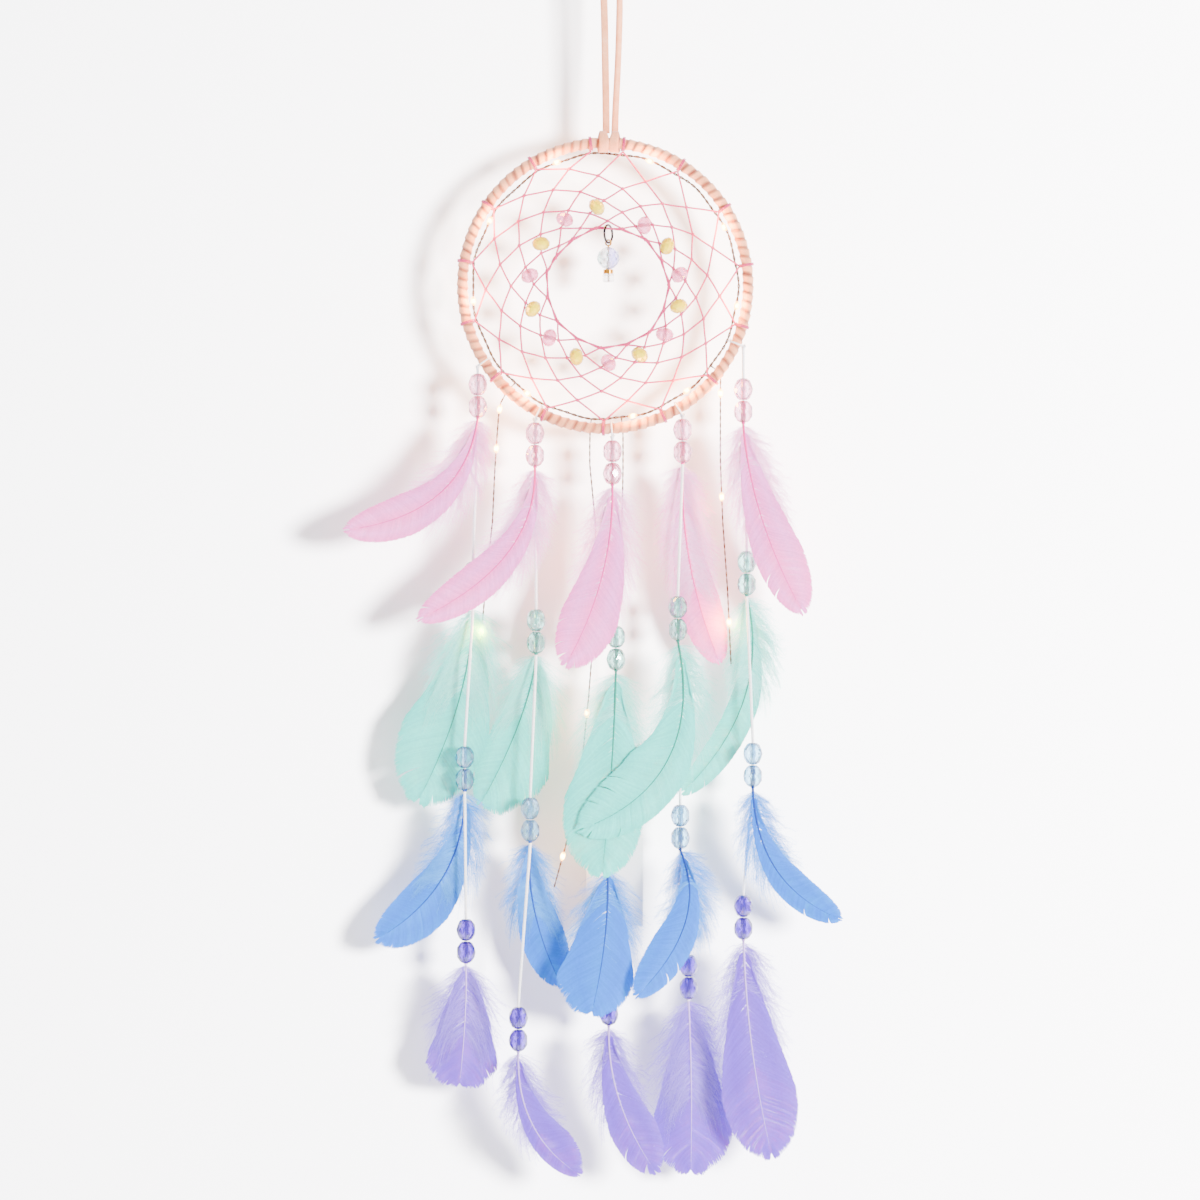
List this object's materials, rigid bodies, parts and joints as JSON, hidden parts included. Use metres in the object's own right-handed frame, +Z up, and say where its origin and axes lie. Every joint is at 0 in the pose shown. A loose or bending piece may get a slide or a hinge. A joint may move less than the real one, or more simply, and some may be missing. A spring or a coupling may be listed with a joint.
{
  "type": "dream catcher wall ornament",
  "caption": "Round lace-wrapped hoop with a knotted thread net, a bead charm, beaded strands of dyed feathers and a battery string of tiny lights, hung from a lace loop.",
  "frame": {"origin": "the hanging point: the underside of the top of the hanging lace, where a nail or hook holds it", "axes": "+Z up, +Y towards the wall behind it, +X to the right as seen from the front"},
  "size_m": [0.2085, 0.0332, 0.51],
  "materials": {
    "suede_lace": "soft suede",
    "ring_steel": "drawn wire",
    "rose_thread": "waxed",
    "white_thread": "twisted",
    "yellow_glass": "faceted",
    "pink_glass": "faceted",
    "charm_glass": "faceted",
    "bead_glass": "faceted",
    "dark_metal": "gunmetal plate",
    "gold_metal": "plated",
    "pink_feather": "soft dyed feather",
    "aqua_feather": "soft dyed feather",
    "blue_feather": "soft dyed feather",
    "purple_feather": "soft dyed feather",
    "copper_wire": "lacquered",
    "lamp_resin": "clear drop",
    "white_plastic": "moulded",
    "grey_plastic": "moulded",
    "cell_steel": "plated",
    "contact_metal": "plated",
    "board_laminate": "lacquered"
  },
  "bodies": {
    "hanger": {"hanging_lace": "suede_lace", "lace_knot": "suede_lace"},
    "hoop": {"hoop_ring": "ring_steel", "hoop_wrap": "suede_lace", "web_thread": "rose_thread", "web_beads_yellow": "yellow_glass", "web_beads_pink": "pink_glass", "light_wire_hoop": "copper_wire", "hoop_lamps": "lamp_resin"},
    "charm_ring": {"jump_ring": "dark_metal"},
    "charm": {"charm_pin": "gold_metal", "charm_bead": "charm_glass", "charm_cap": "gold_metal", "charm_cube": "charm_glass"},
    "strand_1": {"strand_1_thread": "white_thread", "strand_1_beads": "bead_glass"},
    "strand_2": {"strand_2_thread": "white_thread", "strand_2_beads": "bead_glass"},
    "strand_3": {"strand_3_thread": "white_thread", "strand_3_beads": "bead_glass"},
    "strand_4": {"strand_4_thread": "white_thread", "strand_4_beads": "bead_glass"},
    "strand_5": {"strand_5_thread": "white_thread", "strand_5_beads": "bead_glass"},
    "left_drop": {"left_drop_wire": "copper_wire", "left_drop_lamps": "lamp_resin"},
    "right_drop": {"right_drop_wire": "copper_wire", "right_drop_lamps": "lamp_resin"},
    "middle_drop": {"middle_drop_wire": "copper_wire", "middle_drop_lamps": "lamp_resin"},
    "battery_pack": {"battery_lead": "copper_wire", "battery_case": "white_plastic", "coin_cells": "cell_steel", "cell_contacts": "contact_metal", "circuit_board": "board_laminate"},
    "cover": {"battery_cover": "white_plastic"},
    "switch": {"switch_knob": "grey_plastic"},
    "strand_1_pink": {"strand_1_pink_feather": "pink_feather"},
    "strand_2_pink": {"strand_2_pink_feather": "pink_feather"},
    "strand_3_pink": {"strand_3_pink_feather": "pink_feather"},
    "strand_4_pink": {"strand_4_pink_feather": "pink_feather"},
    "strand_5_pink": {"strand_5_pink_feather": "pink_feather"},
    "strand_1_aqua": {"strand_1_aqua_feather": "aqua_feather"},
    "strand_2_aqua": {"strand_2_aqua_feather": "aqua_feather"},
    "strand_3_aqua": {"strand_3_aqua_feather": "aqua_feather"},
    "strand_4_aqua": {"strand_4_aqua_feather": "aqua_feather"},
    "strand_5_aqua": {"strand_5_aqua_feather": "aqua_feather"},
    "strand_1_blue": {"strand_1_blue_feather": "blue_feather"},
    "strand_2_blue": {"strand_2_blue_feather": "blue_feather"},
    "strand_3_blue": {"strand_3_blue_feather": "blue_feather"},
    "strand_4_blue": {"strand_4_blue_feather": "blue_feather"},
    "strand_5_blue": {"strand_5_blue_feather": "blue_feather"},
    "strand_1_purple": {"strand_1_purple_feather": "purple_feather"},
    "strand_2_purple": {"strand_2_purple_feather": "purple_feather"},
    "strand_3_purple": {"strand_3_purple_feather": "purple_feather"},
    "strand_4_purple": {"strand_4_purple_feather": "purple_feather"},
    "strand_5_purple": {"strand_5_purple_feather": "purple_feather"}
  },
  "joints": [
    {"name": "hoop_swing", "type": "hinge", "parent": "hanger", "child": "hoop", "pos_m": [-0.002, 0, -0.075], "axis": [1, 0, 0], "range_deg": [-30, 1]},
    {"name": "strand_1_sway", "type": "hinge", "parent": "hoop", "child": "strand_1", "pos_m": [-0.05267, 0, -0.16713], "axis": [0, 1, 0], "range_deg": [-1, 3.5]},
    {"name": "strand_2_sway", "type": "hinge", "parent": "hoop", "child": "strand_2", "pos_m": [-0.02994, 0, -0.1881], "axis": [0, 1, 0], "range_deg": [-2, 2.5]},
    {"name": "strand_3_sway", "type": "hinge", "parent": "hoop", "child": "strand_3", "pos_m": [0.00084, 0, -0.19493], "axis": [0, 1, 0], "range_deg": [-3, 3]},
    {"name": "strand_4_sway", "type": "hinge", "parent": "hoop", "child": "strand_4", "pos_m": [0.02878, 0, -0.1865], "axis": [0, 1, 0], "range_deg": [-1.5, 3]},
    {"name": "strand_5_sway", "type": "hinge", "parent": "hoop", "child": "strand_5", "pos_m": [0.05293, 0, -0.15913], "axis": [0, 1, 0], "range_deg": [-3.5, 1.5]},
    {"name": "charm_ring_swing", "type": "hinge", "parent": "hoop", "child": "charm_ring", "pos_m": [-0.0007, 0, -0.11099], "axis": [1, 0, 0], "range_deg": [-40, 40]},
    {"name": "charm_swing", "type": "hinge", "parent": "charm_ring", "child": "charm", "pos_m": [-0.0007, 0, -0.11695], "axis": [0, 1, 0], "range_deg": [-30, 30]},
    {"name": "left_drop_sway", "type": "hinge", "parent": "hoop", "child": "left_drop", "pos_m": [-0.04006, 0.002, -0.17581], "axis": [0, 1, 0], "range_deg": [-5, 1.5]},
    {"name": "right_drop_sway", "type": "hinge", "parent": "hoop", "child": "right_drop", "pos_m": [0.04256, 0.002, -0.16858], "axis": [0, 1, 0], "range_deg": [-1.5, 3.5]},
    {"name": "middle_drop_sway", "type": "hinge", "parent": "hoop", "child": "middle_drop", "pos_m": [-0.00783, 0.002, -0.19049], "axis": [0, 1, 0], "range_deg": [-4, 1.5]},
    {"name": "battery_sway", "type": "hinge", "parent": "hoop", "child": "battery_pack", "pos_m": [0.0048, 0.002, -0.19038], "axis": [0, 1, 0], "range_deg": [-6, 6]},
    {"name": "switch_slide", "type": "slide", "parent": "battery_pack", "child": "switch", "axis": [-1, 0, 0], "range_m": [0, 0.003]},
    {"name": "cover_slide", "type": "slide", "parent": "battery_pack", "child": "cover", "axis": [0, 0, -1], "range_m": [0, 0.03]},
    {"name": "strand_1_pink_turn", "type": "hinge", "parent": "strand_1", "child": "strand_1_pink", "pos_m": [-0.0555, 0, -0.1913], "axis": [0, 1, 0], "range_deg": [-10, 10]},
    {"name": "strand_2_pink_turn", "type": "hinge", "parent": "strand_2", "child": "strand_2_pink", "pos_m": [-0.0315, 0, -0.2118], "axis": [0, 1, 0], "range_deg": [-10, 10]},
    {"name": "strand_3_pink_turn", "type": "hinge", "parent": "strand_3", "child": "strand_3_pink", "pos_m": [0.001, 0, -0.2193], "axis": [0, 1, 0], "range_deg": [-10, 10]},
    {"name": "strand_4_pink_turn", "type": "hinge", "parent": "strand_4", "child": "strand_4_pink", "pos_m": [0.0305, 0, -0.2103], "axis": [0, 1, 0], "range_deg": [-2, 10]},
    {"name": "strand_5_pink_turn", "type": "hinge", "parent": "strand_5", "child": "strand_5_pink", "pos_m": [0.056, 0, -0.1933], "axis": [0, 1, 0], "range_deg": [-10, 10]},
    {"name": "strand_1_aqua_turn", "type": "hinge", "parent": "strand_1", "child": "strand_1_aqua", "pos_m": [-0.0575, 0, -0.2703], "axis": [0, 1, 0], "range_deg": [-6, 10]},
    {"name": "strand_2_aqua_turn", "type": "hinge", "parent": "strand_2", "child": "strand_2_aqua", "pos_m": [-0.031, 0, -0.2903], "axis": [0, 1, 0], "range_deg": [-10, 10]},
    {"name": "strand_3_aqua_turn", "type": "hinge", "parent": "strand_3", "child": "strand_3_aqua", "pos_m": [0.0025, 0, -0.2973], "axis": [0, 1, 0], "range_deg": [-10, 10]},
    {"name": "strand_4_aqua_turn", "type": "hinge", "parent": "strand_4", "child": "strand_4_aqua", "pos_m": [0.0285, 0, -0.2848], "axis": [0, 1, 0], "range_deg": [-10, 10]},
    {"name": "strand_5_aqua_turn", "type": "hinge", "parent": "strand_5", "child": "strand_5_aqua", "pos_m": [0.0575, 0, -0.2658], "axis": [0, 1, 0], "range_deg": [-10, 6]},
    {"name": "strand_1_blue_turn", "type": "hinge", "parent": "strand_1", "child": "strand_1_blue", "pos_m": [-0.061, 0, -0.3478], "axis": [0, 1, 0], "range_deg": [-10, 10]},
    {"name": "strand_2_blue_turn", "type": "hinge", "parent": "strand_2", "child": "strand_2_blue", "pos_m": [-0.0335, 0, -0.3693], "axis": [0, 1, 0], "range_deg": [-10, 10]},
    {"name": "strand_3_blue_turn", "type": "hinge", "parent": "strand_3", "child": "strand_3_blue", "pos_m": [-0.001, 0, -0.3803], "axis": [0, 1, 0], "range_deg": [-10, 10]},
    {"name": "strand_4_blue_turn", "type": "hinge", "parent": "strand_4", "child": "strand_4_blue", "pos_m": [0.0295, 0, -0.3723], "axis": [0, 1, 0], "range_deg": [-10, 10]},
    {"name": "strand_5_blue_turn", "type": "hinge", "parent": "strand_5", "child": "strand_5_blue", "pos_m": [0.06, 0, -0.3463], "axis": [0, 1, 0], "range_deg": [-10, 10]},
    {"name": "strand_1_purple_turn", "type": "hinge", "parent": "strand_1", "child": "strand_1_purple", "pos_m": [-0.0605, 0, -0.4203], "axis": [0, 1, 0], "range_deg": [-10, 10]},
    {"name": "strand_2_purple_turn", "type": "hinge", "parent": "strand_2", "child": "strand_2_purple", "pos_m": [-0.0385, 0, -0.4573], "axis": [0, 1, 0], "range_deg": [-10, 10]},
    {"name": "strand_3_purple_turn", "type": "hinge", "parent": "strand_3", "child": "strand_3_purple", "pos_m": [-0.0005, 0, -0.4463], "axis": [0, 1, 0], "range_deg": [-10, 10]},
    {"name": "strand_4_purple_turn", "type": "hinge", "parent": "strand_4", "child": "strand_4_purple", "pos_m": [0.033, 0, -0.4353], "axis": [0, 1, 0], "range_deg": [-10, 10]},
    {"name": "strand_5_purple_turn", "type": "hinge", "parent": "strand_5", "child": "strand_5_purple", "pos_m": [0.056, 0, -0.4103], "axis": [0, 1, 0], "range_deg": [-10, 10]}
  ]
}
